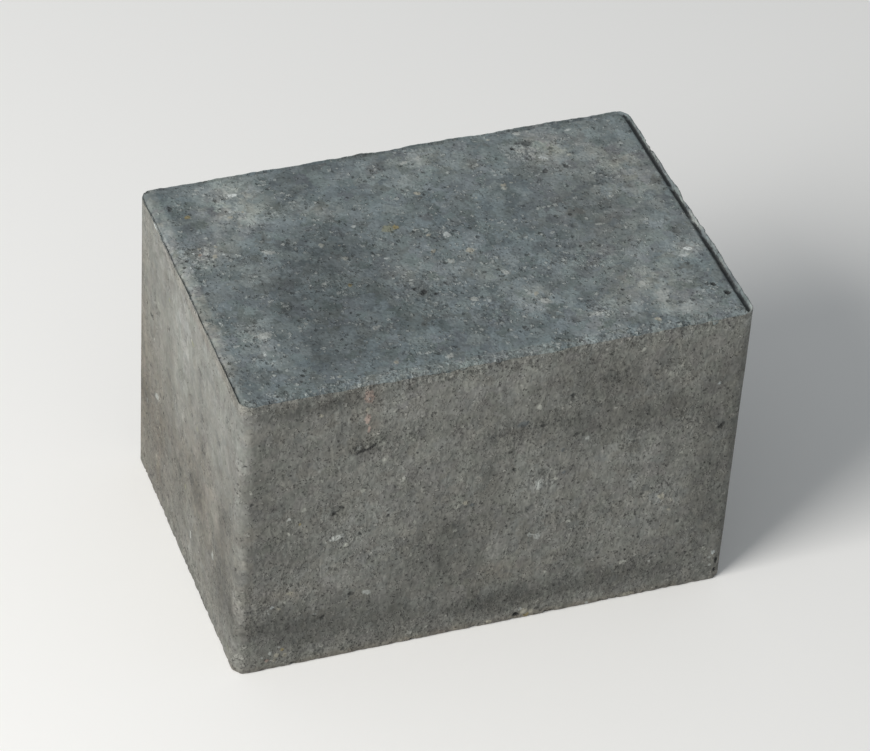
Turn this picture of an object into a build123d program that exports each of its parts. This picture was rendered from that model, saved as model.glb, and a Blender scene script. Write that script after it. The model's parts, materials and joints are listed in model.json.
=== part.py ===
import os
from math import atan2, degrees, pi, sin

from build123d import *

# A pressed concrete paving stone, cast in one piece and lying on its bed face.
# +X runs along its length and +Z up through the wearing face. The origin is the middle
# of the bed face. All sizes are in millimetres.

# Driving dimensions of the stone, as the mould shapes it
length = 210.0  # between the two end joint faces
width = 140.0  # between the two long joint faces
height = 140.0  # from the bed face to the wearing face
corner_radius = 5.5  # upright corners, seen in plan
arris_radius = 0.6  # softened edge all round the bed face

# Driving dimensions of the print that the tamper shoe leaves in the top
bevel_width = 2.1  # sloping edge of the wearing face, measured level
bevel_depth = 1.4  # from the wearing face down to the foot of the bevel
gutter_width = 0.35  # flat foot between the bevel and the fin

# Clearance between shoe and mould, where paste squeezed up into a fin on each side
fin_left = 0.6
fin_right = 1.3
fin_front = 0.6
fin_back = 0.7

# Rise of the fin's crest over the wearing face at each corner. Below zero it has
# crumbled to less than the height of the face.
rise_front_left = -0.3
rise_front_right = 0.8
rise_back_right = -0.3
rise_back_left = -0.9

# What each side's crest gains or loses halfway along, against its two corners
bow_left = 0.1
bow_right = 0.5
bow_front = -0.3
bow_back = 0.1

# The crest is torn into uneven lumps: a long swell and a short one, added together
swell_height = 0.25
swell_length = 43.0
lump_height = 0.25
lump_length = 21.0
crest_step = 4.5  # between the points that the crest's curve passes through

# Where the swell starts on each side, in radians, so that no two sides are torn alike
start_front = 0.4
start_right = 1.9
start_back = 3.1
start_left = 4.6

# Places worked out from the sizes above
bevel_angle = degrees(atan2(bevel_width, bevel_depth))
gutter_level = height - bevel_depth
crest_swing = swell_height + lump_height
highest_corner = max(rise_front_left, rise_front_right, rise_back_right, rise_back_left)
highest_bow = max(bow_left, bow_right, bow_front, bow_back, 0)
roof_level = height + highest_corner + highest_bow + crest_swing
shoe_length = length - fin_left - fin_right
shoe_width = width - fin_front - fin_back
shoe_center = ((fin_left - fin_right) / 2, (fin_front - fin_back) / 2)
shoe_corner = corner_radius - min(fin_left, fin_right, fin_front, fin_back)
foot_length = shoe_length - 2 * gutter_width
foot_width = shoe_width - 2 * gutter_width
foot_corner = shoe_corner - gutter_width


def crest_points(run, first_rise, last_rise, bow, start):
    """Points of one side's crest, between the ends of its two corner arcs."""
    straight = run - 2 * corner_radius
    count = round(straight / crest_step)
    points = []
    for index in range(count + 1):
        share = index / count
        along = share * straight
        fade = sin(pi * share)
        swell = swell_height * sin(2 * pi * along / swell_length + start)
        lump = lump_height * sin(2 * pi * along / lump_length + 2 * start)
        rise = first_rise + share * (last_rise - first_rise) + fade * (bow + swell + lump)
        points.append((along - straight / 2, height + rise))
    return points


# Each side as seen from outside: its plane and length, then the rise at its left and at
# its right corner, its bow and the start of its swell
front = Plane.front.offset(width / 2)
right = Plane.right.offset(length / 2)
back = Plane.back.offset(width / 2)
left = Plane.left.offset(length / 2)
sides = [
    (front, length, rise_front_left, rise_front_right, bow_front, start_front),
    (right, width, rise_front_right, rise_back_right, bow_right, start_right),
    (back, length, rise_back_right, rise_back_left, bow_back, start_back),
    (left, width, rise_back_left, rise_front_left, bow_left, start_left),
]

with BuildPart() as stone:
    # Body, cast higher than any crest
    with BuildSketch():
        RectangleRounded(length, width, corner_radius)
    extrude(amount=roof_level)
    fillet(stone.edges().group_by(Axis.Z)[0], radius=arris_radius)

    # Tear each side's rim down to its crest, level over the corner arcs
    for plane, run, first_rise, last_rise, bow, start in sides:
        crest = crest_points(run, first_rise, last_rise, bow, start)
        first_end = (-run / 2, height + first_rise)
        last_end = (run / 2, height + last_rise)
        with BuildSketch(plane):
            with BuildLine():
                Line(first_end, crest[0])
                Spline(*crest)
                Line(crest[-1], last_end)
                Polyline(last_end, (run / 2, roof_level), (-run / 2, roof_level), first_end)
            make_face()
        extrude(amount=-corner_radius, mode=Mode.SUBTRACT)

    # Everything inside the fin is pressed down to the gutter
    with BuildSketch(Plane.XY.offset(gutter_level)):
        with Locations(shoe_center):
            RectangleRounded(shoe_length, shoe_width, shoe_corner)
    extrude(amount=roof_level - gutter_level, mode=Mode.SUBTRACT)

    # Wearing face, standing on its bevel inside the gutter
    with BuildSketch(Plane.XY.offset(gutter_level)):
        with Locations(shoe_center):
            RectangleRounded(foot_length, foot_width, foot_corner)
    extrude(amount=bevel_depth, taper=bevel_angle)

stone.part.label = "paving_stone"
os.makedirs("parts", exist_ok=True)
export_step(stone.part, "parts/paving_stone.step")
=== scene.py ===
import json
import math
import random

import bmesh
import bpy
from mathutils import Matrix, Vector, kdtree, noise
from mathutils.bvhtree import BVHTree


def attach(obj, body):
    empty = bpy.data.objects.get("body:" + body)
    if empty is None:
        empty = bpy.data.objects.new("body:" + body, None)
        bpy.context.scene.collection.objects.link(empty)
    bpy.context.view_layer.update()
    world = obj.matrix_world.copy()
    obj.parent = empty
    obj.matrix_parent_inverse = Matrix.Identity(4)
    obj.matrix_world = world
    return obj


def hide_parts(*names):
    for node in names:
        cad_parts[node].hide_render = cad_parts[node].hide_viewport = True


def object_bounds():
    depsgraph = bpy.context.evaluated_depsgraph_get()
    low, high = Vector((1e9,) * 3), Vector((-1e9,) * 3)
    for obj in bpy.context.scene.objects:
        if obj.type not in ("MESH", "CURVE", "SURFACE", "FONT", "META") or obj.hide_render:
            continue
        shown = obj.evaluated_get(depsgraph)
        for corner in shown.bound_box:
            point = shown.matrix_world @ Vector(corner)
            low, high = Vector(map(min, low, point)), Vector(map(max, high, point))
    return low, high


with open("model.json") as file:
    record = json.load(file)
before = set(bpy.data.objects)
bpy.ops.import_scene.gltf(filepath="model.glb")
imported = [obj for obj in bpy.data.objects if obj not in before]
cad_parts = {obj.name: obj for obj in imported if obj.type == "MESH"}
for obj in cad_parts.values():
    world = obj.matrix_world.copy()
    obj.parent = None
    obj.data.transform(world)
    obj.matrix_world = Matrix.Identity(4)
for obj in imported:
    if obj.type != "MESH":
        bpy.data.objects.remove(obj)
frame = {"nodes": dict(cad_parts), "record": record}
cadLow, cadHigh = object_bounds()
mounts = {m["name"]: Vector(m["pos_m"]) for m in frame["record"]["mounts"]}

mm = 0.001  # the mesh is made in millimetres and scaled to metres at the end
length = (mounts["right_joint_face"].x - mounts["left_joint_face"].x) / mm
width = (mounts["back_joint_face"].y - mounts["front_joint_face"].y) / mm
faceLevel = mounts["wearing_face"].z / mm
ceiling = cadHigh.z / mm
print("frame loaded:", round(length), "x", round(width), "x", round(faceLevel), "mm")

# Blank: the pressed stone before its surface gets any relief, in millimetres
blank = {
    "cornerRadius": 5.5,
    "arrisRadius": 0.6,
    "bevelWidth": 2.1,
    "bevelDepth": 1.4,
    "gutterWidth": 0.35,
    "finLeft": 0.6,
    "finRight": 1.3,
    "finFront": 0.6,
    "finBack": 0.7,
    "crestRounding": 0.25,
    "faceCell": 2.5,  # side of a mesh cell in the middle of a face
    "edgeCell": 1.15,  # and in the band along its ends
    "edgeBand": 7.0,
    "rimCuts": 2,  # extra cuts along the fin, the bevel and the lower arris
    "arrisRows": 4,  # mesh rows above the bed that count as the lower arris
}

# Relief: how far the skin lies inside the mould's faces, and what waves it
relief = {
    "skin": 0.18, "leastSink": 0.02,
    "swell": 0.1, "swellSize": 42.0,
    "ribs": 0.05, "ribSize": 5.0, "ribStretch": 6.0,
    "faceLumps": 0.07, "faceLumpSize": 6.0,
    "bedLumps": 0.3, "bedLumpSize": 5.0,
    "arrisWear": 1.3, "arrisWearSize": 3.2, "arrisReach": 3.0,
    "crestTear": 0.28, "crestTearSize": 2.8, "crestLoss": 0.35,  # it crumbles more than it gains
    "crestLumps": {"left": 0.25, "right": 0.6, "front": 0.25, "back": 0.12}, "crestLumpSize": 9.0,
    "crestStand": 0.4, "crestNotch": 2.2,  # height of its lumps and depth of the gaps in them
    "gutterFill": {"left": 0.9, "right": 0.1, "front": 0.7, "back": 0.3}, "gutterFillSize": 5.0,
    "gutterSpare": 0.1,  # paste in the gutter stays this far below the wearing face
}


def stations(span):
    # distances from one end of a span, closer together near both ends
    band = blank["edgeBand"]
    fine = round(band / blank["edgeCell"])
    coarse = round((span - 2 * band) / blank["faceCell"])
    first = [band * i / fine for i in range(fine)]
    middle = [band + (span - 2 * band) * i / coarse for i in range(coarse + 1)]
    return first + middle + [span - d for d in reversed(first)]


def between(rows, place):
    # linear reading of a list of tuples at a fractional index
    low = min(int(place), len(rows) - 2)
    share = place - low
    return [a + (b - a) * share for a, b in zip(rows[low], rows[low + 1])]


def edgeSection():
    # From the rim of the bed up the wall, over the fin and in to the wearing face. Each row is
    # (share of the fin's thickness, inset, height, share of the crest's rise).
    rows = []
    arris = blank["arrisRadius"]
    for turn in (0, 45):
        s, c = math.sin(math.radians(turn)), math.cos(math.radians(turn))
        rows.append((0, arris * (1 - s), arris * (1 - c), 0))
    foot = faceLevel - blank["bevelDepth"]
    wall = stations(foot - arris)
    rows += [(0, 0, arris + z, 0) for z in wall]
    shoulder = faceLevel - blank["crestRounding"]
    rows += [(0.05, 0, shoulder, 1), (0.3, 0, faceLevel, 1)]
    rows += [(0.7, 0, faceLevel, 1), (0.95, 0, shoulder, 1)]
    rows += [(1, 0, (foot + shoulder) / 2, 0.5), (1, 0, foot, 0)]
    for share in (0, 1 / 3, 2 / 3, 1):
        inset = blank["gutterWidth"] + blank["bevelWidth"] * share
        rows.append((1, inset, foot + blank["bevelDepth"] * share, 0))
    return rows, len(wall) + 1


columns = [(x - length / 2,) for x in stations(length)]
ranks = [(y - width / 2,) for y in stations(width)]
section, wallTopRow = edgeSection()
crestRow = wallTopRow + 1.8  # above it the fin wears the finish of the wearing face
shoulderRow = wallTopRow + 4  # inner shoulder of the crest
footRow = wallTopRow + 6  # where the inner side of the fin meets the gutter
faceRow = len(section) - 1  # rim of the wearing face
cadMesh = frame["nodes"]["paving_stone"].data
cadPoints = [v.co for v in cadMesh.vertices]
cadTree = BVHTree.FromPolygons(cadPoints, [p.vertices[:] for p in cadMesh.polygons])
crestRises = {}


def outline(x, y, finShare, inset):
    # a point of the plain rectangle, moved to the outline that lies this far inside the mould
    low = Vector((
        -length / 2 + blank["finLeft"] * finShare + inset,
        -width / 2 + blank["finFront"] * finShare + inset,
    ))
    high = Vector((
        length / 2 - blank["finRight"] * finShare - inset,
        width / 2 - blank["finBack"] * finShare - inset,
    ))
    middle, half = (low + high) / 2, (high - low) / 2
    radius = blank["cornerRadius"] - blank["finLeft"] * finShare - inset
    spot = Vector((x * half.x / (length / 2), y * half.y / (width / 2)))
    over = Vector((abs(spot.x) - half.x + radius, abs(spot.y) - half.y + radius))
    if over.x > 0 and over.y > 0:
        over *= max(over) / over.length
        spot.x = math.copysign(half.x - radius + over.x, spot.x)
        spot.y = math.copysign(half.y - radius + over.y, spot.y)
    return middle + spot


def crestRise(x, y):
    # how far the solid's fin stands over the wearing face here
    key = (round(x, 3), round(y, 3))
    if key not in crestRises:
        spot = outline(x, y, 0.5, 0) * mm
        above = Vector((spot.x, spot.y, 2 * cadHigh.z))
        hit = cadTree.ray_cast(above, Vector((0, 0, -1)))[0]
        crestRises[key] = hit.z / mm - faceLevel
    return crestRises[key]


def settle(spot):
    # where a point of the plain block, counted in columns, ranks and rows, lies on the stone
    finShare, inset, height, crestShare = between(section, spot.z)
    x, y = between(columns, spot.x)[0], between(ranks, spot.y)[0]
    seen = outline(x, y, finShare, inset)
    if crestShare > 0:
        height += crestShare * crestRise(x, y)
    return Vector((seen.x, seen.y, height))


def pointsOf(geom):
    return [g for g in geom if isinstance(g, bmesh.types.BMVert)]


def plainBlock():
    # a closed box whose x, y and z count columns, ranks and rows
    bm = bmesh.new()
    across, along = len(columns) - 1, len(ranks) - 1
    bmesh.ops.create_grid(bm, x_segments=across, y_segments=along, size=0.5)
    bmesh.ops.scale(bm, vec=(across, along, 1), verts=bm.verts)
    bmesh.ops.translate(bm, vec=(across / 2, along / 2, 0), verts=bm.verts)
    bed = bm.verts[:] + bm.edges[:] + bm.faces[:]
    ring = [e for e in bm.edges if e.is_boundary]
    face = bmesh.ops.duplicate(bm, geom=bed)["geom"]
    bmesh.ops.translate(bm, vec=(0, 0, faceRow), verts=pointsOf(face))
    for _ in range(faceRow):
        raised = bmesh.ops.extrude_edge_only(bm, edges=ring)["geom"]
        bmesh.ops.translate(bm, vec=(0, 0, 1), verts=pointsOf(raised))
        ring = [g for g in raised if isinstance(g, bmesh.types.BMEdge)]
    bmesh.ops.remove_doubles(bm, verts=bm.verts, dist=0.001)
    bmesh.ops.recalc_face_normals(bm, faces=bm.faces)
    return bm


def cutRims(bm):
    # more cells along the fin and along the lower arris, where the outline is torn
    def onRim(e):
        spot, other = (v.co for v in e.verts)
        gap = min(spot.x, spot.y, len(columns) - 1 - spot.x, len(ranks) - 1 - spot.y)
        torn = spot.z >= wallTopRow or spot.z <= blank["arrisRows"]
        return gap < 0.01 and abs(spot.z - other.z) < 0.01 and torn

    rim = [e for e in bm.edges if onRim(e)]
    bmesh.ops.subdivide_edges(bm, edges=rim, cuts=blank["rimCuts"], use_grid_fill=True)


# Kinds of mark: colour (linear), how much of it shows, depth against radius (below zero it stands
# proud), how ragged its outline is, and the radii between which it is strewn
# The dark colours of pit, hole, dimple and hollow are painted shade in their sunk recesses as well as
# dirt
markTable = {
    "pit": ((0.03, 0.032, 0.032), 0.75, 0.55, 0.55, (0.6, 1.2)),
    "hole": ((0.022, 0.024, 0.024), 0.95, 0.75, 0.2, (0.6, 1.0)),
    "dimple": ((0.088, 0.098, 0.098), 0.92, 0.2, 0.18, (1.0, 1.6)),
    "hollow": ((0.09, 0.095, 0.093), 0.5, 0.3, 0.5, (0.9, 2.2)),
    "chip": ((0.2, 0.19, 0.165), 0.45, 0.35, 0.6, (0.6, 1.6)),
    "white": ((0.62, 0.66, 0.65), 0.9, -0.1, 0.6, (0.6, 1.2)),
    "chalk": ((0.45, 0.485, 0.48), 0.85, -0.08, 0.6, (0.5, 1.0)),
    "pale": ((0.4, 0.42, 0.4), 0.7, -0.1, 0.5, (0.6, 1.7)),
    "beige": ((0.37, 0.355, 0.29), 0.7, -0.1, 0.5, (0.6, 1.4)),
    "tan": ((0.225, 0.23, 0.16), 0.75, -0.05, 0.45, (0.6, 1.4)),
    "orange": ((0.29, 0.24, 0.11), 0.8, -0.05, 0.5, (0.5, 1.0)),
    "rose": ((0.41, 0.315, 0.27), 0.7, -0.04, 0.35, (0.8, 1.6)),
    "pebble": ((0.39, 0.4, 0.355), 0.62, -0.28, 0.25, (0.7, 1.4)),
    "slate": ((0.07, 0.085, 0.095), 0.65, -0.06, 0.3, (0.8, 1.8)),
}
markParts = ("colour", "cover", "depth", "ragged", "radii")
markKinds = {kind: dict(zip(markParts, row)) for kind, row in markTable.items()}

# Marks that tell this stone from its neighbours: distance from the left edge and from the upper
# edge as the face is seen from outside, radius, kind, and where the mark is drawn out, how far and
# how many degrees clockwise it lies
knownMarks = {
    "top": [
        (13.7, 22.5, 1.3, "orange"), (35, 13.5, 1.2, "white", 1.8, 0),
        (88.2, 50.5, 2.4, "tan", 1.1, 90), (91.3, 50.3, 1.3, "orange", 1.3, 90),
        (109.5, 60, 1.7, "chalk", 1.2, 100), (102.5, 58.5, 0.9, "beige", 1.6, 150),
        (104.4, 60.8, 0.8, "pit"), (115, 72.3, 1.6, "beige"), (62.5, 80.3, 1.1, "orange"),
        (89, 92, 1.5, "pit", 1.4, 120), (86, 89, 0.9, "pit"), (93, 94, 0.8, "pit"),
        (161.2, 11.4, 2.4, "dimple", 1.1, 10), (157.6, 10.9, 0.9, "dimple", 1.6, 0),
        (154.4, 13.4, 1.1, "hole"), (157, 16, 1.3, "pale", 1.8, 30), (161, 19.5, 1.4, "pale", 1.6, 70),
        (164.4, 22.6, 1.2, "chalk", 1.8, 20), (107, 31.5, 1.2, "beige", 1.4, 20),
        (109.5, 33, 0.8, "pit"), (21, 101, 2.2, "pale", 1.6, 170), (38, 52.5, 1.8, "pale", 1.5, 20),
        (36, 55.5, 0.8, "pit"), (15, 44, 1.3, "pale", 1.6, 60), (11, 49, 1.2, "pale", 1.5, 20),
        (17, 49.5, 1, "beige", 1.5, 100), (12.5, 43, 0.9, "beige"), (14, 46.6, 1.1, "pale", 1.3, 140),
        (11.8, 46.8, 0.8, "rose"), (18.2, 46, 0.9, "pale"), (15.4, 51, 0.8, "pale"),
        (19, 43.4, 0.8, "beige"), (9.6, 45.4, 0.8, "chalk"), (16.6, 41.6, 0.7, "pale"),
        (20.6, 49, 0.7, "chalk"), (13, 51.6, 0.7, "pit"), (30, 27, 1, "beige", 1.3, 30),
        (33.6, 28.6, 0.9, "pale"), (26.6, 26, 0.8, "pale"), (31, 23.4, 0.8, "chalk"),
        (36, 25, 0.8, "beige"), (24.6, 107.6, 0.9, "pale"), (9, 54.5, 0.9, "pit"), (6, 49, 0.8, "pit"),
        (150, 122.5, 1.3, "pale", 2.6, 165), (133, 110, 1.5, "pale", 1.8, 30),
        (199.2, 94, 1.1, "white", 2.2, 15), (196, 97.5, 1.1, "chalk", 2, 0),
        (200.5, 117.5, 1, "hole", 1.5, 60), (204, 124, 1.3, "hole", 1.2, 0),
        (64, 108, 1.3, "pale", 1.4, 0), (53, 77, 1, "pale"), (182, 54, 0.9, "pale", 1.8, 10),
        (108.5, 11, 1, "pale", 2.4, 170), (181, 7.5, 0.7, "chalk", 2.4, 170), (178, 46, 0.8, "pale"),
        (171, 70, 0.9, "pale", 2.2, 5),
    ],
    "front": [
        (50.6, 5.4, 2.1, "rose", 1.9, 86), (50.6, 16.5, 1.3, "rose", 2.2, 90),
        (51.4, 22, 0.8, "rose", 2.4, 90), (50.9, 6.5, 1.1, "chalk", 1.4, 80),
        (52.5, 31.8, 0.8, "pit", 5, 152), (48.5, 33, 0.8, "pit", 3.2, 140),
        (50.4, 12, 0.7, "beige", 2.4, 90), (46.5, 31, 0.7, "pit", 2.4, 120),
        (55.5, 28.6, 0.8, "pebble"), (57.5, 30.8, 1, "pebble", 1.5, 150),
        (40.5, 75.5, 1.5, "pale", 2.6, 160), (66.5, 51.2, 1.4, "pebble"), (66.8, 51, 0.9, "pale"),
        (90.5, 71, 1.2, "pebble", 1.4, 150), (124, 68.2, 1.8, "pale", 1.5, 80),
        (178, 87.5, 1.5, "beige", 1.3, 70), (182, 95.5, 1, "beige"), (122, 94.5, 1.2, "pale"),
        (184.5, 66, 1.2, "pebble"), (197.5, 32.5, 0.8, "chalk"), (115, 34.5, 1.7, "slate", 1.6, 170),
        (39, 62.5, 1, "pit", 1.6, 130), (42, 60, 0.8, "pit", 1.5, 30),
        (61.5, 68.8, 0.7, "pit", 2.2, 115), (50, 75.8, 0.7, "pit", 2, 70),
        (72.5, 75, 0.8, "pebble", 1.6, 90), (129, 86, 0.8, "pit"), (138.5, 45, 0.9, "pit", 1.5, 160),
        (123.5, 37.5, 1, "pit", 2, 170), (25, 64.5, 0.8, "orange"), (20.5, 61, 0.9, "pale"),
        (17.3, 132.8, 1.3, "beige"), (14.6, 131, 1.1, "pale"), (13.4, 134.6, 1, "rose"),
        (19.6, 130.4, 0.9, "orange"), (20.8, 133.6, 1.1, "beige"), (16.4, 135.4, 1, "beige"),
        (18.2, 128.6, 0.7, "pale"), (11.4, 132.6, 0.7, "pale"), (122.5, 136.4, 1.7, "beige", 1.3, 0),
        (119.2, 137.6, 1.3, "hole", 1.2, 0), (125.6, 136.8, 1.2, "beige"),
        (123.6, 138.6, 1.1, "orange"), (120.6, 134.6, 0.9, "pale"), (104, 138.6, 1.2, "hollow", 1.6, 0),
        (107.4, 138, 1.1, "beige", 1.4, 0), (168, 138.6, 1.2, "beige", 1.8, 0),
        (150, 138.8, 0.9, "pale"), (12.4, 107.4, 0.8, "pale"), (14.8, 106.2, 0.9, "chalk"),
        (17.6, 107.6, 0.9, "beige"), (13.6, 109.2, 0.7, "pale"), (22, 100.4, 1, "beige", 1.6, 30),
        (20, 104.6, 0.8, "pebble"), (10.6, 104, 0.7, "pit"), (90, 84, 0.9, "pebble"),
        (204.6, 124.6, 0.9, "chalk", 1.3, 60), (203, 127, 0.8, "pale"),
        (206.8, 130, 1.2, "hole", 1.7, 85), (206.4, 135, 1.1, "hole", 1.4, 85),
        (203.6, 131.6, 0.8, "pale"), (200.6, 122, 0.7, "pebble"),
    ],
    "left": [
        (90, 45, 1, "hollow", 1.8, 70), (91, 60, 1, "hollow", 2, 80), (69.5, 99, 1.2, "tan", 1.3, 90),
        (33, 99, 1, "beige", 1.8, 90), (108, 103, 1.3, "pale", 1.6, 90),
        (122, 20, 0.9, "hollow", 2, 60), (24.5, 0.3, 1.2, "chalk", 2.6, 0),
        (33, 0.6, 1.4, "chip", 2.2, 0), (37.5, 0.4, 1.2, "hollow", 1.8, 0),
        (1.2, 1.6, 1.5, "pale", 1.4, 90), (26, 22, 0.9, "hollow"), (78, 118, 0.8, "pale", 3, 88),
        (28, 118, 0.8, "beige", 3, 92),
    ],
}

# What each face gets strewn with besides: how many marks of a kind for each square decimetre
strewn = {
    "top": {"pit": 5, "hollow": 3, "pale": 5, "chalk": 2, "beige": 2, "pebble": 3},
    "left": {"pit": 2, "hollow": 4, "pale": 1, "tan": 2, "pebble": 2},
    "side": {"pit": 6, "hollow": 4, "pale": 2, "beige": 1, "slate": 1, "pebble": 10},
    "bed": {"pit": 7, "hollow": 6, "pale": 3, "beige": 2, "pebble": 5},
}
edgeChips = {"bed": 50, "top": 20, "corner": 14}
strewSeed = 21  # another number strews them anew
strewMargin = 3  # how far they keep from the edges of a face
squareDecimetre = 10000  # in square millimetres

faceFrames = {
    # upper left corner as seen from outside, the way to the right and the way down
    "top": (Vector((-length / 2, width / 2, faceLevel)), Vector((1, 0, 0)), Vector((0, -1, 0))),
    "front": (Vector((-length / 2, -width / 2, faceLevel)), Vector((1, 0, 0)), Vector((0, 0, -1))),
    "left": (Vector((-length / 2, width / 2, faceLevel)), Vector((0, -1, 0)), Vector((0, 0, -1))),
    "back": (Vector((length / 2, width / 2, faceLevel)), Vector((-1, 0, 0)), Vector((0, 0, -1))),
    "right": (Vector((length / 2, -width / 2, faceLevel)), Vector((0, 1, 0)), Vector((0, 0, -1))),
    "bed": (Vector((length / 2, width / 2, 0)), Vector((-1, 0, 0)), Vector((0, -1, 0))),
}


def onFace(face, across, down):
    corner, right, below = faceFrames[face]
    return corner + right * across + below * down


def faceSize(face):
    wide = width if face in ("left", "right") else length
    return wide, width if face in ("top", "bed") else faceLevel


def lieOf(face, turn):
    # the way in which a mark on this face is drawn out
    right, below = faceFrames[face][1:]
    return right * math.cos(math.radians(turn)) + below * math.sin(math.radians(turn))


def gatherMarks():
    draw = random.Random(strewSeed)
    marks = []
    for face, rows in knownMarks.items():
        for across, down, radius, kind, *drawn in rows:
            stretch, turn = drawn or (1, 0)
            marks.append((onFace(face, across, down), radius, kind, stretch, lieOf(face, turn)))
    for face in faceFrames:
        wide, tall = faceSize(face)
        for kind, count in strewn[face if face in strewn else "side"].items():
            low, high = markKinds[kind]["radii"]
            for _ in range(round(count * wide * tall / squareDecimetre)):
                across = draw.uniform(strewMargin, wide - strewMargin)
                down = draw.uniform(strewMargin, tall - strewMargin)
                radius = low + (high - low) * draw.random() ** 2
                stretch = 1 + draw.random() ** 2
                lie = lieOf(face, draw.uniform(0, 180))
                marks.append((onFace(face, across, down), radius, kind, stretch, lie))
    # chips along the lower arris, the fin and the upright corners
    low, high = markKinds["chip"]["radii"]
    for edge, count in edgeChips.items():
        for _ in range(count):
            side = draw.choice(("front", "back", "left", "right"))
            wide, tall = faceSize(side)
            down = {"bed": tall - 0.3, "top": 0.2, "corner": draw.uniform(4, tall - 4)}[edge]
            onCorner = edge == "corner"
            across = draw.choice((1.6, wide - 1.6)) if onCorner else draw.uniform(2, wide - 2)
            radius = draw.uniform(low, high)
            marks.append((onFace(side, across, down), radius, "chip", 1, lieOf(side, 0)))
    return marks


def gapTo(mark, place):
    # distance from the middle of a mark, counted shorter the way the mark is drawn out
    spot, _, _, stretch, lie = mark
    offset = place - spot
    along = offset.dot(lie)
    return math.hypot((offset - lie * along).length, along / stretch)


def treeOf(spots):
    tree = kdtree.KDTree(len(spots))
    for index, spot in enumerate(spots):
        tree.insert(spot, index)
    tree.balance()
    return tree


# Rounds of cuts around the marks: how far they reach, in radii, and the longest cell left whole
markCuts = ((1.6, 1.4), (1.35, 0.7))


def cutMarks(bm, marks):
    # cells near a mark are halved, and the ones right at it are halved again
    tree = treeOf([mark[0] for mark in marks])
    widest = max(radius * stretch for _, radius, _, stretch, _ in marks)
    farthest = widest * markCuts[0][0] + 2
    for reach, longest in markCuts:
        chosen = set()
        for f in bm.faces:
            middle = settle(f.calc_center_median())
            corners = [settle(v.co) for v in f.verts]
            size = max((a - b).length for a, b in zip(corners, corners[1:]))
            if size < longest:
                continue
            for _, index, _ in tree.find_range(middle, farthest):
                if gapTo(marks[index], middle) < marks[index][1] * reach + size / 2:
                    chosen.update(f.edges)
                    break
        bmesh.ops.subdivide_edges(bm, edges=list(chosen), cuts=1, use_grid_fill=True)


def smoothStep(value):
    value = min(max(value, 0), 1)
    return value * value * (3 - 2 * value)


def waves(spot, size, octaves=3):
    return noise.fractal(spot / size, 0.9, 2.0, octaves, noise_basis="PERLIN_ORIGINAL")


def nearestSide(spot):
    gaps = {
        "left": spot.x + length / 2,
        "right": length / 2 - spot.x,
        "front": spot.y + width / 2,
        "back": width / 2 - spot.y,
    }
    return min(gaps, key=gaps.get)


def shapeSkin(bm, rowLayer):
    # moves every point in from the mould's faces, by the relief of its place
    bm.normal_update()
    moves = []
    for v in bm.verts:
        spot, normal, row = v.co, v.normal, v[rowLayer]
        crest = between(section, row)[3]
        sink = relief["skin"] + relief["swell"] * waves(spot, relief["swellSize"])
        side = 1 - abs(normal.z)
        stretched = Vector((spot.x, spot.y, spot.z / relief["ribStretch"]))
        sink += side * relief["ribs"] * waves(stretched, relief["ribSize"])
        sink += max(normal.z, 0) * relief["faceLumps"] * waves(spot, relief["faceLumpSize"])
        sink += max(-normal.z, 0) * relief["bedLumps"] * abs(waves(spot, relief["bedLumpSize"]))
        low = smoothStep(1 - spot.z / relief["arrisReach"]) * side
        worn = max(waves(spot + Vector((7, 3, 1)), relief["arrisWearSize"]), 0)
        sink += low * relief["arrisWear"] * worn
        move = -normal * max(sink, relief["leastSink"])
        if row > wallTopRow and crest > 0:
            torn = waves(spot + Vector((3, 9, 5)), relief["crestTearSize"], 4) - relief["crestLoss"]
            lump = abs(waves(Vector((spot.x, spot.y, 31)), relief["crestLumpSize"], 2))
            lump = relief["crestStand"] - lump * relief["crestNotch"]
            lump = relief["crestLumps"][nearestSide(spot)] * lump
            move.z = crest * (relief["crestTear"] * torn + lump)
        if shoulderRow < row < faceRow:
            fill = 0.8 + waves(spot, relief["gutterFillSize"])
            fill = relief["gutterFill"][nearestSide(spot)] * fill
            move.z += max(min(fill, faceLevel - relief["gutterSpare"] - spot.z), 0)
        moves.append(move)
    for v, move in zip(bm.verts, moves):
        v.co += move


def layMarks(bm, marks, toneLayer, coneLayer):
    # sinks the pits, raises the grains and paints both
    bm.normal_update()
    bm.verts.ensure_lookup_table()
    tree = treeOf([v.co for v in bm.verts])
    moves = {}
    for number, mark in enumerate(marks):
        spot, radius, kind, stretch, lie = mark
        look = markKinds[kind]
        drift = Vector((number * 1.7, number * 0.9, number * 2.3))  # no two are ragged alike
        for place, index, _ in tree.find_range(spot, radius * stretch * 2):
            v = bm.verts[index]
            ragged = 1 + look["ragged"] * noise.noise(place / (radius * 0.8) + drift)
            share = 1 - gapTo(mark, place) / radius * ragged
            cone = 0.5 + 0.5 * share * look["cover"] ** 0.5
            if cone > v[coneLayer]:
                v[coneLayer] = cone
                v[toneLayer] = (*look["colour"], look["cover"])
            if share > 0:
                depth = look["depth"] * radius * (1 - (1 - share) ** 2) ** 0.8
                moves[index] = max(moves.get(index, 0), depth, key=abs)
    for index, depth in moves.items():
        v = bm.verts[index]
        v.co -= v.normal * depth
    print("marks laid:", len(marks))


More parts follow.
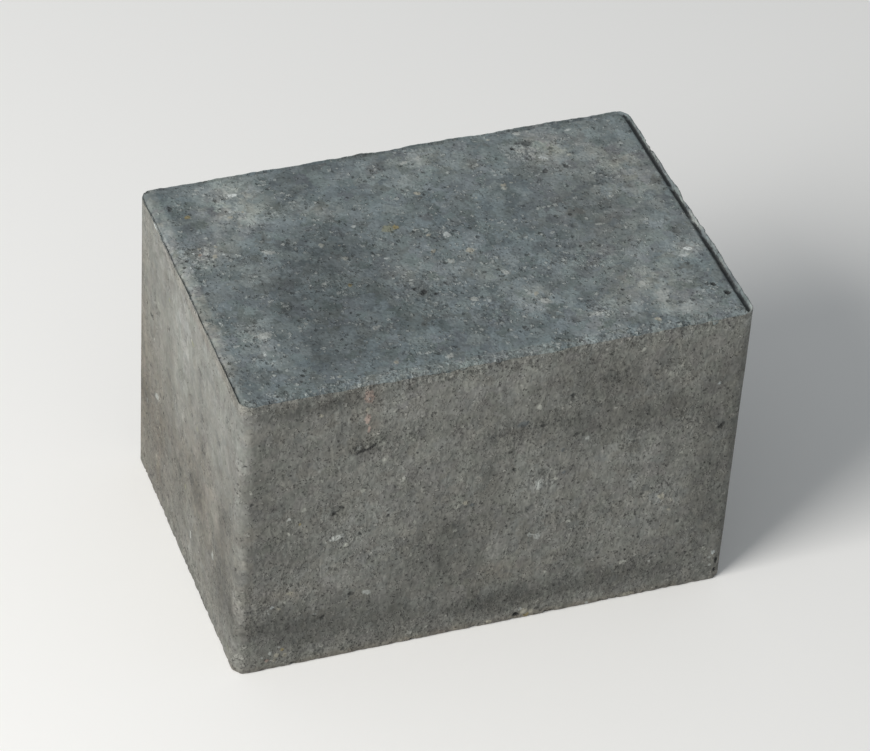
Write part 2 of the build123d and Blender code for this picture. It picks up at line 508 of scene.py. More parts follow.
# Weather: soft patches of bloom (lime), damp (dark), warmth (loam) and crumble (sand that the paste
# leaves bare); place as for a mark, half sizes and strength
patches = {
    ("bloom", "top"): [
        (210, 66, 1.5, 60, 0.8), (209, 138, 3, 4, 0.9), (35, 13, 9, 12, 0.95), (34, 28, 11, 9, 0.75),
        (168, 15, 13, 12, 0.6), (175, 110, 10, 9, 0.75), (130, 105, 8, 9, 0.5), (92, 80, 13, 10, 0.35),
        (117, 87, 9, 8, 0.35), (152, 122, 12, 5, 0.5), (186, 126, 14, 12, 0.5), (18, 103, 6, 16, 0.5),
        (197, 94, 7, 5, 0.7), (112, 12, 26, 12, 0.35), (200, 42, 6, 16, 0.4), (2, 80, 4, 60, 0.5),
        (23, 24, 8, 14, 0.4), (22, 62, 12, 9, 0.3), (50, 26, 10, 6, 0.3), (66, 31, 8, 5, 0.4),
        (192, 52, 13, 54, 0.34), (166, 88, 12, 9, 0.35), (165, 17, 10, 9, 0.3), (148, 130, 8, 4, 0.4),
        (172, 104, 10, 8, 0.25), (169, 20, 12, 10, 0.35), (22, 43, 6, 5, 0.35), (66, 32, 7, 5, 0.25),
        (190, 32, 8, 6, 0.4), (79, 80, 6, 5, 0.4), (160, 116, 6, 5, 0.45), (174, 128, 7, 5, 0.35),
        (120, 8, 7, 4, 0.3), (134, 19, 6, 5, 0.3),
    ],
    ("bloom", "front"): [
        (66, 11, 8, 12, 0.6), (96, 14, 18, 8, 0.4), (57, 66, 15, 20, 0.4), (125, 76, 10, 24, 0.45),
        (158, 64, 20, 16, 0.4), (178, 87, 7, 7, 0.6), (20, 100, 18, 5, 0.5), (1, 70, 3, 80, 0.5),
        (165, 98, 18, 16, 0.3), (120, 2, 60, 3, 0.5), (80, 50, 20, 14, 0.2), (40, 96, 10, 10, 0.25),
        (56, 14, 13, 10, 0.3), (118, 10, 12, 6, 0.25), (50, 88, 6, 10, 0.3),
    ],
    ("bloom", "left"): [
        (65, 20, 9, 45, 0.75), (40, 12, 60, 26, 0.4), (107, 77, 7, 9, 0.5), (77, 120, 4, 16, 0.6),
        (79, 108, 8, 5, 0.4), (100, 20, 30, 30, 0.35), (2, 60, 3, 60, 0.5), (57, 70, 5, 30, 0.35),
        (31, 115, 2.5, 18, 0.4),
    ],
    ("bloom", "back"): [
        (60, 50, 16, 40, 0.4), (150, 70, 30, 16, 0.3),
    ],
    ("bloom", "right"): [
        (60, 40, 12, 40, 0.4),
    ],
    ("damp", "top"): [
        (56, 72, 24, 30, 0.7), (66, 54, 12, 14, 0.35), (50, 92, 20, 16, 0.25), (48, 122, 22, 18, 0.45),
        (88, 92, 8, 4.5, 0.55), (11, 24, 7, 9, 0.65), (61, 12, 10, 11, 0.45), (36, 122, 6, 8, 0.35),
        (172, 58, 14, 22, 0.45), (138, 46, 14, 10, 0.3), (150, 80, 14, 20, 0.25), (160, 112, 6, 8, 0.35),
        (105, 128, 26, 12, 0.3), (127, 70, 5, 6, 0.35), (8, 70, 5, 14, 0.3), (8, 38, 6, 8, 0.3),
        (5, 121, 10, 12, 0.45), (36, 80, 8, 24, 0.45), (57, 114, 18, 12, 0.35), (80, 108, 8, 9, 0.45),
        (94, 100, 9, 14, 0.35), (104, 66, 8, 14, 0.25), (148, 114, 5, 5, 0.8), (120, 32, 7, 5, 0.3),
        (78, 7, 7, 5, 0.3), (104, 7, 8, 5, 0.35), (204, 66, 4, 18, 0.25),
    ],
    # The patches at 198 to 200 across darken the front towards its right end
    ("damp", "front"): [
        (25, 7, 26, 3, 0.75), (50, 32, 6, 4, 0.6), (147, 21, 24, 12, 0.55), (174, 41, 22, 9, 0.65),
        (140, 41, 10, 6, 0.45), (119, 36, 14, 3.5, 0.55), (200, 25, 7, 7, 0.6), (200, 62, 8, 24, 0.65),
        (198, 102, 11, 24, 0.7), (86, 98, 12, 13, 0.7), (80, 82, 14, 14, 0.35), (10, 115, 7, 7, 0.55),
        (32, 121, 30, 9, 0.65), (120, 126, 56, 6, 0.7), (172, 126, 20, 8, 0.4), (37, 57, 6, 8, 0.35),
        (12, 60, 14, 46, 0.32), (68, 26, 8, 6, 0.2), (24, 116, 18, 10, 0.4), (36, 7, 8, 4, 0.3),
        (148, 45, 26, 6, 0.35), (104, 60, 6, 45, 0.3), (64, 116, 10, 16, 0.45), (110, 129, 32, 5, 0.4),
    ],
    ("damp", "left"): [
        (86, 86, 12, 13, 0.8), (91, 60, 6, 8, 0.55), (120, 94, 8, 26, 0.75), (125, 68, 6, 13, 0.6),
        (127, 112, 9, 10, 0.6), (30, 104, 42, 22, 0.55), (12, 96, 12, 12, 0.4), (106, 112, 26, 14, 0.25),
        (50, 86, 12, 10, 0.3), (92, 24, 4, 32, 0.3), (133, 92, 6, 34, 0.5), (86, 91, 12, 7, 0.35),
        (28, 128, 16, 8, 0.45), (60, 108, 8, 22, 0.25),
    ],
    ("damp", "back"): [
        (60, 95, 30, 18, 0.6), (150, 40, 28, 20, 0.5), (110, 130, 90, 7, 0.5),
    ],
    ("damp", "right"): [
        (40, 95, 26, 22, 0.6), (105, 60, 20, 26, 0.4), (70, 8, 50, 5, 0.4),
    ],
    ("warmth", "top"): [
        (15, 48, 9, 7, 0.6), (165, 20, 14, 10, 0.35), (192, 33, 12, 10, 0.4), (170, 112, 14, 12, 0.3),
        (1, 90, 3, 60, 0.5), (172, 60, 16, 26, 0.35),
    ],
    ("warmth", "front"): [
        (110, 111, 18, 5, 0.4), (18, 101, 16, 4, 0.4), (100, 139, 120, 2.2, 0.8), (51, 12, 3.5, 14, 0.5),
    ],
    ("warmth", "left"): [
        (6, 70, 9, 80, 0.35), (70, 100, 90, 50, 0.2), (20, 100, 30, 40, 0.5), (95, 84, 36, 26, 0.4),
        (31, 115, 3, 20, 0.5),
    ],
    ("warmth", "back"): [
        (120, 120, 60, 12, 0.5),
    ],
    ("warmth", "right"): [
        (60, 122, 50, 12, 0.5),
    ],
    ("crumble", "top"): [
        (10, 50, 8, 10, 0.9), (36, 52, 5, 6, 0.5), (57, 78, 9, 7, 0.8), (83, 85, 6, 9, 0.9),
        (93, 97, 9, 12, 0.8), (107, 31, 7, 5, 0.5), (104, 60, 7, 5, 0.6), (157, 17, 6, 10, 0.9),
        (185, 38, 9, 9, 0.5), (148, 88, 22, 7, 0.6), (112, 112, 11, 11, 0.6), (130, 110, 6, 6, 0.6),
        (151, 122, 9, 5, 0.8), (76, 124, 9, 11, 0.6), (64, 107, 5, 4, 0.5), (16, 100, 8, 9, 0.5),
        (12, 126, 8, 5, 0.5), (52, 125, 5, 4, 0.5), (178, 84, 5, 5, 0.5), (200, 120, 5, 10, 0.6),
        (45, 30, 8, 5, 0.4), (120, 50, 6, 14, 0.35), (115, 72, 5, 5, 0.4), (80, 50, 5, 12, 0.35),
        (105, 138, 120, 3, 0.7), (3, 90, 4, 60, 0.3),
    ],
    ("crumble", "front"): [
        (50, 7, 6, 7, 0.7), (54, 31, 9, 5, 1), (22, 62, 6, 5, 0.7), (40, 62, 6, 6, 0.9),
        (42, 75, 8, 4, 0.7), (70, 27, 7, 5, 0.5), (67, 51, 4, 4, 0.5), (61, 68, 5, 4, 0.5),
        (22, 95, 5, 12, 0.5), (8, 108, 6, 13, 0.8), (90, 71, 4, 4, 0.6), (75, 90, 4, 8, 0.4),
        (125, 67, 6, 5, 0.7), (140, 28, 9, 6, 0.6), (125, 38, 12, 4, 0.6), (150, 17, 6, 5, 0.5),
        (163, 52, 5, 12, 0.5), (178, 86, 6, 8, 0.8), (129, 86, 5, 5, 0.5), (188, 47, 5, 6, 0.5),
        (96, 38, 14, 7, 0.4), (138, 104, 8, 6, 0.4), (105, 132, 105, 7, 0.5), (172, 120, 8, 6, 0.5),
        (105, 1, 120, 3, 0.8),
    ],
    ("crumble", "left"): [
        (90, 45, 4, 5, 0.6), (64, 75, 9, 6, 0.4), (76, 87, 6, 6, 0.7), (62, 100, 6, 8, 0.5),
        (95, 62, 9, 10, 0.4), (120, 70, 7, 5, 0.5), (108, 100, 6, 8, 0.6), (135, 97, 5, 6, 0.7),
        (32, 100, 8, 12, 0.5), (20, 115, 7, 7, 0.4), (70, 134, 70, 6, 0.6), (112, 122, 12, 7, 0.5),
        (136, 50, 4, 14, 0.4), (60, 105, 60, 26, 0.1), (66, 26, 90, 52, -0.35), (70, 84, 100, 80, -0.3),
    ],
    ("crumble", "back"): [
        (105, 134, 105, 6, 0.6), (60, 40, 20, 14, 0.7), (150, 80, 26, 16, 0.6), (90, 100, 20, 10, 0.5),
    ],
    ("crumble", "right"): [
        (70, 134, 70, 6, 0.6), (50, 50, 16, 22, 0.6), (100, 90, 16, 14, 0.6),
    ],
}

# Groove between the fin and the bevel: painted shade and dirt darken it, most of all on the right
groove = {
    "colour": (0.022, 0.025, 0.027), "cover": 0.9,
    "shadeAndDirt": {"right": 1.6, "left": 0.45, "front": 0.2, "back": 0.3},
    "evenShadeAndDirt": 0.85, "clumps": 0.9, "clumpSize": 6,
    "halfRows": 1.2,  # mesh rows that it takes up below its foot, and above it
    "faceGap": 0.2,  # on the right it reaches up to this many rows from the wearing face
    "rimCone": 0.4, "coneRise": 0.35,  # how clearly it shows at its rims, and more in the middle
}


def paintGroove(bm, rowLayer, toneLayer, coneLayer):
    half = groove["halfRows"]
    for v in bm.verts:
        row = v[rowLayer]
        side = nearestSide(v.co)
        top = faceRow - groove["faceGap"] if side == "right" else footRow + half
        if footRow - half < row < top:
            depth = min(min(row - footRow + half, top - row) / half, 1)
            shadeAndDirt = groove["evenShadeAndDirt"] + groove["clumps"] * waves(v.co, groove["clumpSize"])
            shadeAndDirt = min(max(groove["shadeAndDirt"][side] * shadeAndDirt, 0), 1)
            v[coneLayer] = max(v[coneLayer], groove["rimCone"] + groove["coneRise"] * depth)
            # the groove's near-black colour is painted shade of the groove as well as dirt
            v[toneLayer] = (*groove["colour"], groove["cover"] * shadeAndDirt)


# How the patches of weather lie
lay = {
    "swirl": 4, "swirlSize": 22,  # how far their outlines wander, and in what steps
    "thinPatch": 12,  # a patch that is less than this high wanders less
    "thickness": 6,  # a patch marks only what lies this near to its face
    "end": 6,  # squared distance, in half sizes, where it has faded out
}


def paintWeather(bm, weatherLayer):
    spots = []
    for (name, face), rows in patches.items():
        channel = ("bloom", "damp", "warmth", "crumble").index(name)
        right, below = faceFrames[face][1:]
        for across, down, *rest in rows:
            spots.append((channel, onFace(face, across, down), right, below, *rest))
    for v in bm.verts:
        total = [0, 0, 0, 0]
        aside = waves(v.co, lay["swirlSize"])
        along = waves(v.co + Vector((50, 0, 0)), lay["swirlSize"])
        swirl = Vector((aside, along, 0)) * lay["swirl"]
        for channel, centre, right, below, wide, tall, strength in spots:
            gap = v.co - centre
            if abs(gap.dot(right.cross(below))) > lay["thickness"]:
                continue
            across = (gap.dot(right) + swirl.x) / wide
            down = (gap.dot(below) + swirl.y * min(1, tall / lay["thinPatch"])) / tall
            reach = across * across + down * down
            if reach < lay["end"]:
                total[channel] += strength * math.exp(-reach)
        v[weatherLayer] = [min(t, 1) for t in total]


def keepInMould(bm):
    # nothing may stand outside the faces of the mould
    for v in bm.verts:
        v.co.x = min(max(v.co.x, -length / 2), length / 2)
        v.co.y = min(max(v.co.y, -width / 2), width / 2)
        v.co.z = min(max(v.co.z, 0), ceiling)


def finishOf(f, rowLayer):
    rows = [v[rowLayer] for v in f.verts]
    if max(rows) < 0.5:
        return "bedFace"
    return "wearingFace" if sum(rows) / len(rows) > crestRow else "mouldedSide"


def buildStone():
    marks = gatherMarks()
    bm = plainBlock()
    cutRims(bm)
    cutMarks(bm, marks)
    rowLayer = bm.verts.layers.float.new("row")
    toneLayer = bm.verts.layers.float_color.new("markTone")
    coneLayer = bm.verts.layers.float.new("markCone")
    weatherLayer = bm.verts.layers.float_color.new("weather")
    for v in bm.verts:
        v[rowLayer] = v.co.z
        v.co = settle(v.co)
    print("blank cut:", len(bm.verts), "points")
    shapeSkin(bm, rowLayer)
    layMarks(bm, marks, toneLayer, coneLayer)
    paintGroove(bm, rowLayer, toneLayer, coneLayer)
    paintWeather(bm, weatherLayer)
    for f in bm.faces:
        f.material_index = list(finishes).index(finishOf(f, rowLayer))
        f.smooth = True
    keepInMould(bm)
    # a cell with a point halfway along an edge is cut here, or a sliver can fold there when it is cut
    # into triangles later
    halved = [f for f in bm.faces if len(f.verts) > 4]
    bmesh.ops.triangulate(bm, faces=halved, quad_method="BEAUTY", ngon_method="BEAUTY")
    faulty = sum(not e.is_manifold for e in bm.edges)
    print("cells cut:", len(halved), "and edges left open or shared twice:", faulty)
    print("stone shaped:", sum(len(f.verts) - 2 for f in bm.faces), "triangles")
    bmesh.ops.scale(bm, vec=(mm, mm, mm), verts=bm.verts)
    mesh = bpy.data.meshes.new("pavingStone")
    bm.to_mesh(mesh)
    bm.free()
    stone = bpy.data.objects.new("pavingStone", mesh)
    bpy.context.collection.objects.link(stone)
    return stone


def feed(tree, socket, value):
    # a link where the value comes out of a node, and else a plain number or colour
    if isinstance(value, bpy.types.NodeSocket):
        tree.links.new(value, socket)
    else:
        socket.default_value = value


def addNode(tree, kind, inputs=None, **settings):
    made = tree.nodes.new(kind)
    for name, value in settings.items():
        setattr(made, name, value)
    for name, value in (inputs or {}).items():
        feed(tree, made.inputs[name], value)
    return made


def maths(tree, operation, a, b=0.0, c=None, clamp=False):
    values = {0: a, 1: b} if c is None else {0: a, 1: b, 2: c}
    made = addNode(tree, "ShaderNodeMath", values, operation=operation, use_clamp=clamp)
    return made.outputs[0]


def vectorMaths(tree, operation, a, b):
    second = "Scale" if operation == "SCALE" else 1
    made = addNode(tree, "ShaderNodeVectorMath", {0: a, second: b}, operation=operation)
    return made.outputs[0]


def swung(tree, value, contrast, middle=1.0):
    # a value that lies around a half, turned into one that swings around the middle
    return maths(tree, "MULTIPLY_ADD", maths(tree, "SUBTRACT", value, 0.5), contrast, middle)


def mixColour(tree, share, a, b, blend="MIX"):
    a, b = ((*c, 1) if isinstance(c, tuple) else c for c in (a, b))
    made = addNode(tree, "ShaderNodeMix", {0: share, 6: a, 7: b}, data_type="RGBA", blend_type=blend)
    return made.outputs[2]


def spread(tree, value, low, high):
    # clamped reading of a value between two levels
    values = {0: value, 1: low, 2: high}
    made = addNode(tree, "ShaderNodeMapRange", values, interpolation_type="SMOOTHSTEP")
    return made.outputs[0]


def newGroup(name, inputs, outputs):
    tree = bpy.data.node_groups.new(name, "ShaderNodeTree")
    for direction, sockets in (("INPUT", inputs), ("OUTPUT", outputs)):
        for label, kind in sockets.items():
            tree.interface.new_socket(name=label, in_out=direction, socket_type="NodeSocket" + kind)
    given = tree.nodes.new("NodeGroupInput").outputs
    return tree, given, tree.nodes.new("NodeGroupOutput").inputs


def stretched(tree, vector, stretch):
    # a vector squeezed upright, so that what is made from it comes out drawn out upright
    flat = maths(tree, "DIVIDE", 1.0, stretch)
    squeeze = addNode(tree, "ShaderNodeCombineXYZ", {"X": 1.0, "Y": 1.0, "Z": flat}).outputs[0]
    return vectorMaths(tree, "MULTIPLY", vector, squeeze)


def noiseAt(tree, vector, size, detail=2.0, roughness=0.5, distortion=0.0):
    # noise whose cells are this many millimetres wide
    linked = isinstance(size, bpy.types.NodeSocket)
    values = {
        "Vector": vector,
        "Scale": maths(tree, "DIVIDE", 1.0, size) if linked else 1 / size,
        "Detail": detail,
        "Roughness": roughness,
        "Distortion": distortion,
    }
    return addNode(tree, "ShaderNodeTexNoise", values).outputs[0]


def wandered(tree, vector, size, amount):
    # a vector pushed about by noise, so that the cells made from it lose their straight edges
    values = {"Vector": vector, "Scale": maths(tree, "DIVIDE", 2.0, size), "Detail": 1.0}
    push = addNode(tree, "ShaderNodeTexNoise", values).outputs["Color"]
    push = vectorMaths(tree, "SUBTRACT", push, (0.5, 0.5, 0.5))
    moved = vectorMaths(tree, "SCALE", push, maths(tree, "MULTIPLY", size, amount))
    return vectorMaths(tree, "ADD", vector, moved)


def cloudGroup():
    # cement paste dries in soft clouds, from a thumb's width down to a pea, and in small flat
    # patches that are each a little lighter, bluer or browner
    sizes = {"Size": "Float", "Contrast": "Float", "Patch Size": "Float", "Patch Contrast": "Float"}
    tree, given, put = newGroup("clouds", {"Vector": "Vector", **sizes}, {"Tone": "Color"})
    wide = noiseAt(tree, given["Vector"], given["Size"], 2.0, 0.9)
    swing = maths(tree, "MULTIPLY", maths(tree, "SUBTRACT", wide, 0.5), given["Contrast"])
    scale = maths(tree, "DIVIDE", 1.0, given["Patch Size"])
    spot = wandered(tree, given["Vector"], given["Patch Size"], 1.4)
    values = {"Vector": spot, "Scale": scale, "Smoothness": 0.35}
    cells = addNode(tree, "ShaderNodeTexVoronoi", values, feature="SMOOTH_F1")
    parts = addNode(tree, "ShaderNodeSeparateColor", {0: cells.outputs["Color"]}).outputs
    level = maths(tree, "ADD", swung(tree, parts[2], given["Patch Contrast"]), swing)
    tint = maths(tree, "MULTIPLY", given["Patch Contrast"], 0.18)
    red = swung(tree, parts[0], tint, level)
    blue = swung(tree, parts[1], tint, level)
    tone = addNode(tree, "ShaderNodeCombineColor", {0: red, 1: level, 2: blue})
    tree.links.new(tone.outputs[0], put["Tone"])
    return tree


def speckGroup():
    # scattered specks with ragged outlines, each of its own size and strength
    inputs = {"Vector": "Vector", "Size": "Float", "Share": "Float", "Softness": "Float"}
    tree, given, put = newGroup("specks", inputs, {"Mask": "Float"})
    scale = maths(tree, "DIVIDE", 1.0, given["Size"])
    spot = wandered(tree, given["Vector"], given["Size"], 1.2)
    cells = addNode(tree, "ShaderNodeTexVoronoi", {"Vector": spot, "Scale": scale, "Randomness": 1.0})
    parts = addNode(tree, "ShaderNodeSeparateColor", {0: cells.outputs["Color"]})
    radius = maths(tree, "MULTIPLY_ADD", parts.outputs[0], 0.26, 0.26)
    gap = maths(tree, "SUBTRACT", radius, cells.outputs["Distance"])
    inside = maths(tree, "DIVIDE", gap, given["Softness"], clamp=True)
    chosen = maths(tree, "LESS_THAN", parts.outputs[1], given["Share"])
    strength = maths(tree, "MULTIPLY_ADD", maths(tree, "POWER", parts.outputs[2], 1.5), 0.75, 0.25)
    mask = maths(tree, "MULTIPLY", inside, chosen)
    tree.links.new(maths(tree, "MULTIPLY", mask, strength), put["Mask"])
    return tree


def grainGroup():
    # sand under a thin skin of paste, and fine strokes where the mould slid past
    inputs = {"Vector": "Vector", "Size": "Float", "Stretch": "Float"}
    tree, given, put = newGroup("grain", inputs, {"Grain": "Float", "Stroke": "Float", "Lump": "Float"})
    drawn = stretched(tree, given["Vector"], given["Stretch"])
    spot = vectorMaths(tree, "ADD", drawn, (13, 29, 71))
    half = maths(tree, "MULTIPLY", given["Size"], 0.5)
    tree.links.new(noiseAt(tree, given["Vector"], given["Size"], 1.5, 0.9), put["Grain"])
    tree.links.new(noiseAt(tree, spot, half, 1.0, 0.7), put["Stroke"])
    tree.links.new(noiseAt(tree, spot, given["Size"], 0.0, 0.5, 0.8), put["Lump"])
    return tree


# Finish of the three kinds of surface; colours are linear, sizes and relief in millimetres
finishes = {
    "wearingFace": {
        "colour": (0.153, 0.183, 0.191), "bloomColour": (0.32, 0.345, 0.33), "dampShade": 0.42,
        "warmColour": (0.245, 0.232, 0.205), "roughness": 0.8,
        "cloudSize": 13.0, "cloudContrast": 1.1, "patchSize": 5.0, "patchContrast": 0.44,
        "grainSize": 2.0, "grainContrast": 1.1, "stretch": 1.0, "strokeContrast": 0.8,
        "bandSize": 8.0, "bandContrast": 0.0, "bareness": 0.35,
        "crumbSize": 2.3, "crumbShare": 0.6, "crumbSoftness": 0.18,
        "crumbColour": (0.41, 0.44, 0.425), "crumbCover": 0.75,
        "poreSize": 2.0, "poreShare": 0.4, "poreShade": 0.4,
        "grainRelief": 0.5, "crumbRelief": 0.35, "poreRelief": 0.35,
    },
    "mouldedSide": {
        "colour": (0.172, 0.174, 0.158), "bloomColour": (0.265, 0.272, 0.256), "dampShade": 0.45,
        "warmColour": (0.205, 0.18, 0.145), "roughness": 0.88,
        "cloudSize": 13.0, "cloudContrast": 0.6, "patchSize": 5.0, "patchContrast": 0.26,
        "grainSize": 2.3, "grainContrast": 1.6, "stretch": 1.8, "strokeContrast": 1.1,
        "bandSize": 4.5, "bandContrast": 0.35, "bareness": 0.5,
        "crumbSize": 2.5, "crumbShare": 0.62, "crumbSoftness": 0.22,
        "crumbColour": (0.39, 0.39, 0.355), "crumbCover": 0.6,
        "poreSize": 2.2, "poreShare": 0.3, "poreShade": 0.4,
        "grainRelief": 0.9, "crumbRelief": 0.8, "poreRelief": 0.55,
    },
    "bedFace": {
        "colour": (0.172, 0.17, 0.15), "bloomColour": (0.24, 0.24, 0.215), "dampShade": 0.7,
        "warmColour": (0.19, 0.17, 0.135), "roughness": 0.92,
        "cloudSize": 13.0, "cloudContrast": 1.2, "patchSize": 7.0, "patchContrast": 0.4,
        "grainSize": 2.3, "grainContrast": 1.3, "stretch": 1.0, "strokeContrast": 0.9,
        "bandSize": 8.0, "bandContrast": 0.0, "bareness": 0.75,
        "crumbSize": 2.5, "crumbShare": 0.8, "crumbSoftness": 0.22,
        "crumbColour": (0.31, 0.305, 0.275), "crumbCover": 0.6,
        "poreSize": 2.4, "poreShare": 0.5, "poreShade": 0.4,
        "grainRelief": 1.2, "crumbRelief": 0.6, "poreRelief": 0.5,
    },
}


def makeConcrete(name, look, groups):
    made = bpy.data.materials.new(name)
    made.use_nodes = True
    tree = made.node_tree
    surface = tree.nodes["Principled BSDF"]
    place = addNode(tree, "ShaderNodeTexCoord").outputs["Object"]
    spot = vectorMaths(tree, "SCALE", place, 1 / mm)

    def useGroup(key, inputs):
        return addNode(tree, "ShaderNodeGroup", inputs, node_tree=groups[key]).outputs

    def scatter(offset, size, share, softness):
        # coarse specks and fine ones between them
        masks = []
        for step, scale in ((0, 1.0), (17, 0.55)):
            values = {"Vector": vectorMaths(tree, "ADD", spot, (offset + step, 7, step))}
            values.update({"Size": size * scale, "Share": share, "Softness": softness})
            masks.append(useGroup("specks", values)["Mask"])
        return maths(tree, "MAXIMUM", *masks)

    weather = addNode(tree, "ShaderNodeAttribute", attribute_name="weather")
    bloom, damp, warm = addNode(tree, "ShaderNodeSeparateColor", {0: weather.outputs["Color"]}).outputs
    cluster = spread(tree, noiseAt(tree, spot, 9.0, 2.0, 0.6), 0.50, 0.74)
    crumbly = maths(tree, "MULTIPLY_ADD", cluster, 0.55, weather.outputs["Alpha"])
    often = maths(tree, "ADD", crumbly, look["bareness"])
    share = maths(tree, "MULTIPLY", often, look["crumbShare"])
    crumb = scatter(41, look["crumbSize"], share, look["crumbSoftness"])
    share = maths(tree, "MULTIPLY", often, look["poreShare"])
    pore = scatter(5, look["poreSize"], share, 0.18)
    values = {"Vector": spot, "Size": look["cloudSize"], "Contrast": look["cloudContrast"]}
    values.update({"Patch Size": look["patchSize"], "Patch Contrast": look["patchContrast"]})
    clouds = useGroup("clouds", values)["Tone"]
    values = {"Vector": spot, "Size": look["grainSize"], "Stretch": look["stretch"]}
    grain = useGroup("grain", values)
    band = noiseAt(tree, stretched(tree, spot, 14.0), look["bandSize"], 2.0, 0.6)

    cloudy = spread(tree, noiseAt(tree, spot, 7.0, 4.0, 0.85), 0.32, 0.66)
    bloomEdge = maths(tree, "MULTIPLY_ADD", cloudy, 1.1, 0.15)
    dampEdge = maths(tree, "MULTIPLY_ADD", cloudy, -0.5, 1.1)
    warmEdge = maths(tree, "MULTIPLY_ADD", cloudy, 0.6, 0.4)
    bloomShare = maths(tree, "MULTIPLY", bloom, bloomEdge, clamp=True)
    dampShare = maths(tree, "MULTIPLY", damp, dampEdge, clamp=True)
    warmShare = maths(tree, "MULTIPLY", warm, warmEdge, clamp=True)

    colour = mixColour(tree, bloomShare, look["colour"], look["bloomColour"])
    colour = mixColour(tree, warmShare, colour, look["warmColour"])
    colour = mixColour(tree, 1.0, colour, clouds, "MULTIPLY")
    # pale crumbs are pale sand with painted highlights of lit grains over it
    crumbShare = maths(tree, "MULTIPLY", crumb, look["crumbCover"])
    colour = mixColour(tree, crumbShare, colour, look["crumbColour"])

    tone = addNode(tree, "ShaderNodeAttribute", attribute_name="markTone")
    cone = addNode(tree, "ShaderNodeAttribute", attribute_name="markCone").outputs["Fac"]
    cone = swung(tree, noiseAt(tree, spot, 0.9, 2.0, 0.7), 0.6, cone)
    markShare = maths(tree, "MULTIPLY", spread(tree, cone, 0.46, 0.64), tone.outputs["Alpha"])
    colour = mixColour(tree, markShare, colour, tone.outputs["Color"])

    # where sand lies bare the grain shows in full, and elsewhere the paste hides most of it
    shown = maths(tree, "MULTIPLY_ADD", crumbly, 0.5, 0.5, clamp=True)
    grainSwing = maths(tree, "MULTIPLY", shown, look["grainContrast"])
    strokeSwing = maths(tree, "MULTIPLY", shown, look["strokeContrast"])
    shade = maths(tree, "MULTIPLY_ADD", dampShare, look["dampShade"] - 1, 1.0)
    for factor in (
        swung(tree, grain["Grain"], grainSwing),
        swung(tree, grain["Stroke"], strokeSwing),
        swung(tree, band, look["bandContrast"]),
        maths(tree, "MULTIPLY_ADD", pore, look["poreShade"] - 1, 1.0),
    ):
        shade = maths(tree, "MULTIPLY", shade, factor)
    grey = addNode(tree, "ShaderNodeCombineColor", {0: shade, 1: shade, 2: shade}).outputs[0]
    colour = mixColour(tree, 1.0, colour, grey, "MULTIPLY")
    tree.links.new(colour, surface.inputs["Base Color"])

    rough = maths(tree, "MULTIPLY_ADD", grain["Grain"], 0.16, look["roughness"] - 0.08)
    tree.links.new(rough, surface.inputs["Roughness"])

    height = maths(tree, "MULTIPLY", grain["Lump"], look["grainRelief"])
    height = maths(tree, "MULTIPLY", height, shown)
    height = maths(tree, "MULTIPLY_ADD", crumb, look["crumbRelief"], height)
    height = maths(tree, "MULTIPLY_ADD", pore, -look["poreRelief"], height)
    bump = addNode(tree, "ShaderNodeBump", {"Height": height, "Distance": mm, "Strength": 1.0})
    tree.links.new(bump.outputs[0], surface.inputs["Normal"])
    return made


def dressStone(stone):
    groups = {"clouds": cloudGroup(), "grain": grainGroup(), "specks": speckGroup()}
    for name, look in finishes.items():
        stone.data.materials.append(makeConcrete(name, look, groups))


stone = buildStone()
dressStone(stone)
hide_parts("paving_stone")
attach(stone, "root")
print("stone dressed")

# Studio: floor, one large soft light from the left and a pale surround
studio = {
    "floorSize": 6.0,
    "floorColour": (0.95, 0.95, 0.94),
    "floorRoughness": 0.9,
    "keyAim": (0, 0, 0.07),
    "keyDirection": (-0.77, -0.27, 0.58),
    "keyDistance": 2.2,
    "keySize": 1.1,
    "keyPower": 48.0,
    "keyColour": (1.0, 0.975, 0.94),
    "skyColour": (0.93, 0.97, 1.0),
    "skyStrength": 0.34,
}


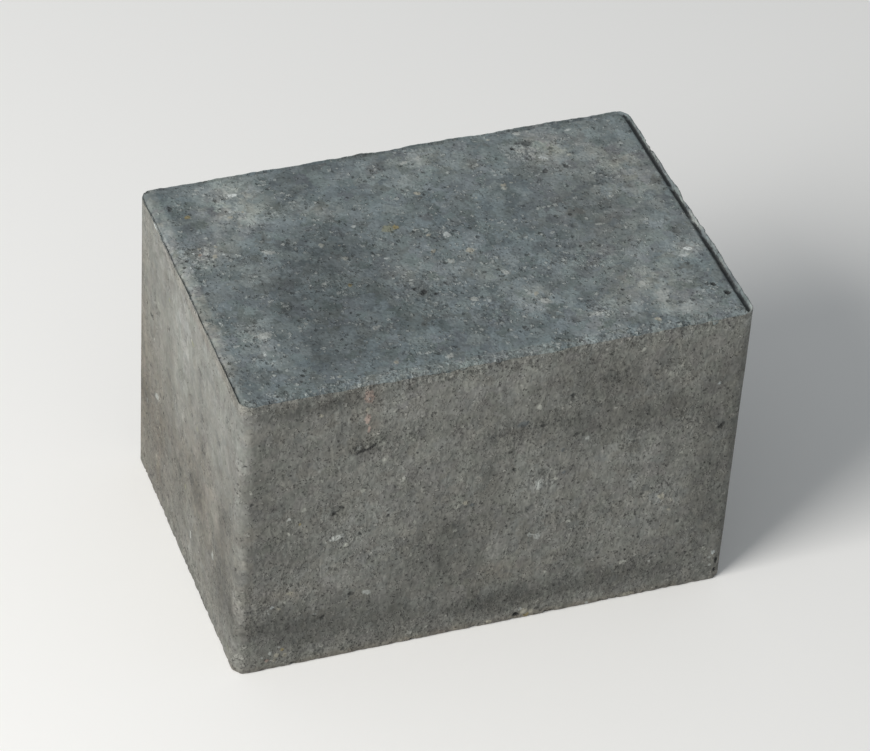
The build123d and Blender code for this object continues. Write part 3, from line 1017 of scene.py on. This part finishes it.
def buildStudio():
    bm = bmesh.new()
    bmesh.ops.create_grid(bm, x_segments=1, y_segments=1, size=studio["floorSize"] / 2)
    mesh = bpy.data.meshes.new("studioFloor")
    bm.to_mesh(mesh)
    bm.free()
    floor = bpy.data.objects.new("studioFloor", mesh)
    bpy.context.collection.objects.link(floor)
    paint = bpy.data.materials.new("floorPaint")
    paint.use_nodes = True
    shader = paint.node_tree.nodes["Principled BSDF"]
    shader.inputs["Base Color"].default_value = (*studio["floorColour"], 1)
    shader.inputs["Roughness"].default_value = studio["floorRoughness"]
    mesh.materials.append(paint)

    lamp = bpy.data.lights.new("keyLight", "AREA")
    lamp.size = studio["keySize"]
    lamp.energy = studio["keyPower"]
    lamp.color = studio["keyColour"]
    key = bpy.data.objects.new("keyLight", lamp)
    direction = Vector(studio["keyDirection"]).normalized()
    key.location = Vector(studio["keyAim"]) + direction * studio["keyDistance"]
    key.rotation_euler = direction.to_track_quat("Z", "Y").to_euler()
    bpy.context.collection.objects.link(key)

    world = bpy.data.worlds.new("surround")
    world.use_nodes = True
    background = world.node_tree.nodes["Background"]
    background.inputs["Color"].default_value = (*studio["skyColour"], 1)
    background.inputs["Strength"].default_value = studio["skyStrength"]
    bpy.context.scene.world = world
    bpy.context.scene.view_settings.view_transform = "Standard"


# Camera, fitted to the seven corners of the stone that the photograph shows
view = {
    "place": (-0.44757, -1.1159, 1.08364),
    "aim": (0.00238, 0.00646, 0.07),
    "roll": 3.976,  # degrees
    "focalPixels": 3875.6,
    "imageWidth": 870,
    "sensorWidth": 36.0,
    "clipEnd": 20.0,
}


def placeCamera():
    lens = bpy.data.cameras.new("camera")
    lens.sensor_width = view["sensorWidth"]
    lens.lens = view["focalPixels"] / view["imageWidth"] * view["sensorWidth"]
    lens.clip_end = view["clipEnd"]
    camera = bpy.data.objects.new("camera", lens)
    place = Vector(view["place"])
    aimed = (Vector(view["aim"]) - place).to_track_quat("-Z", "Y").to_matrix().to_4x4()
    rolled = Matrix.Rotation(math.radians(view["roll"]), 4, "Z")
    camera.matrix_world = Matrix.Translation(place) @ aimed @ rolled
    bpy.context.collection.objects.link(camera)
    bpy.context.scene.camera = camera


buildStudio()
placeCamera()
print("studio set")
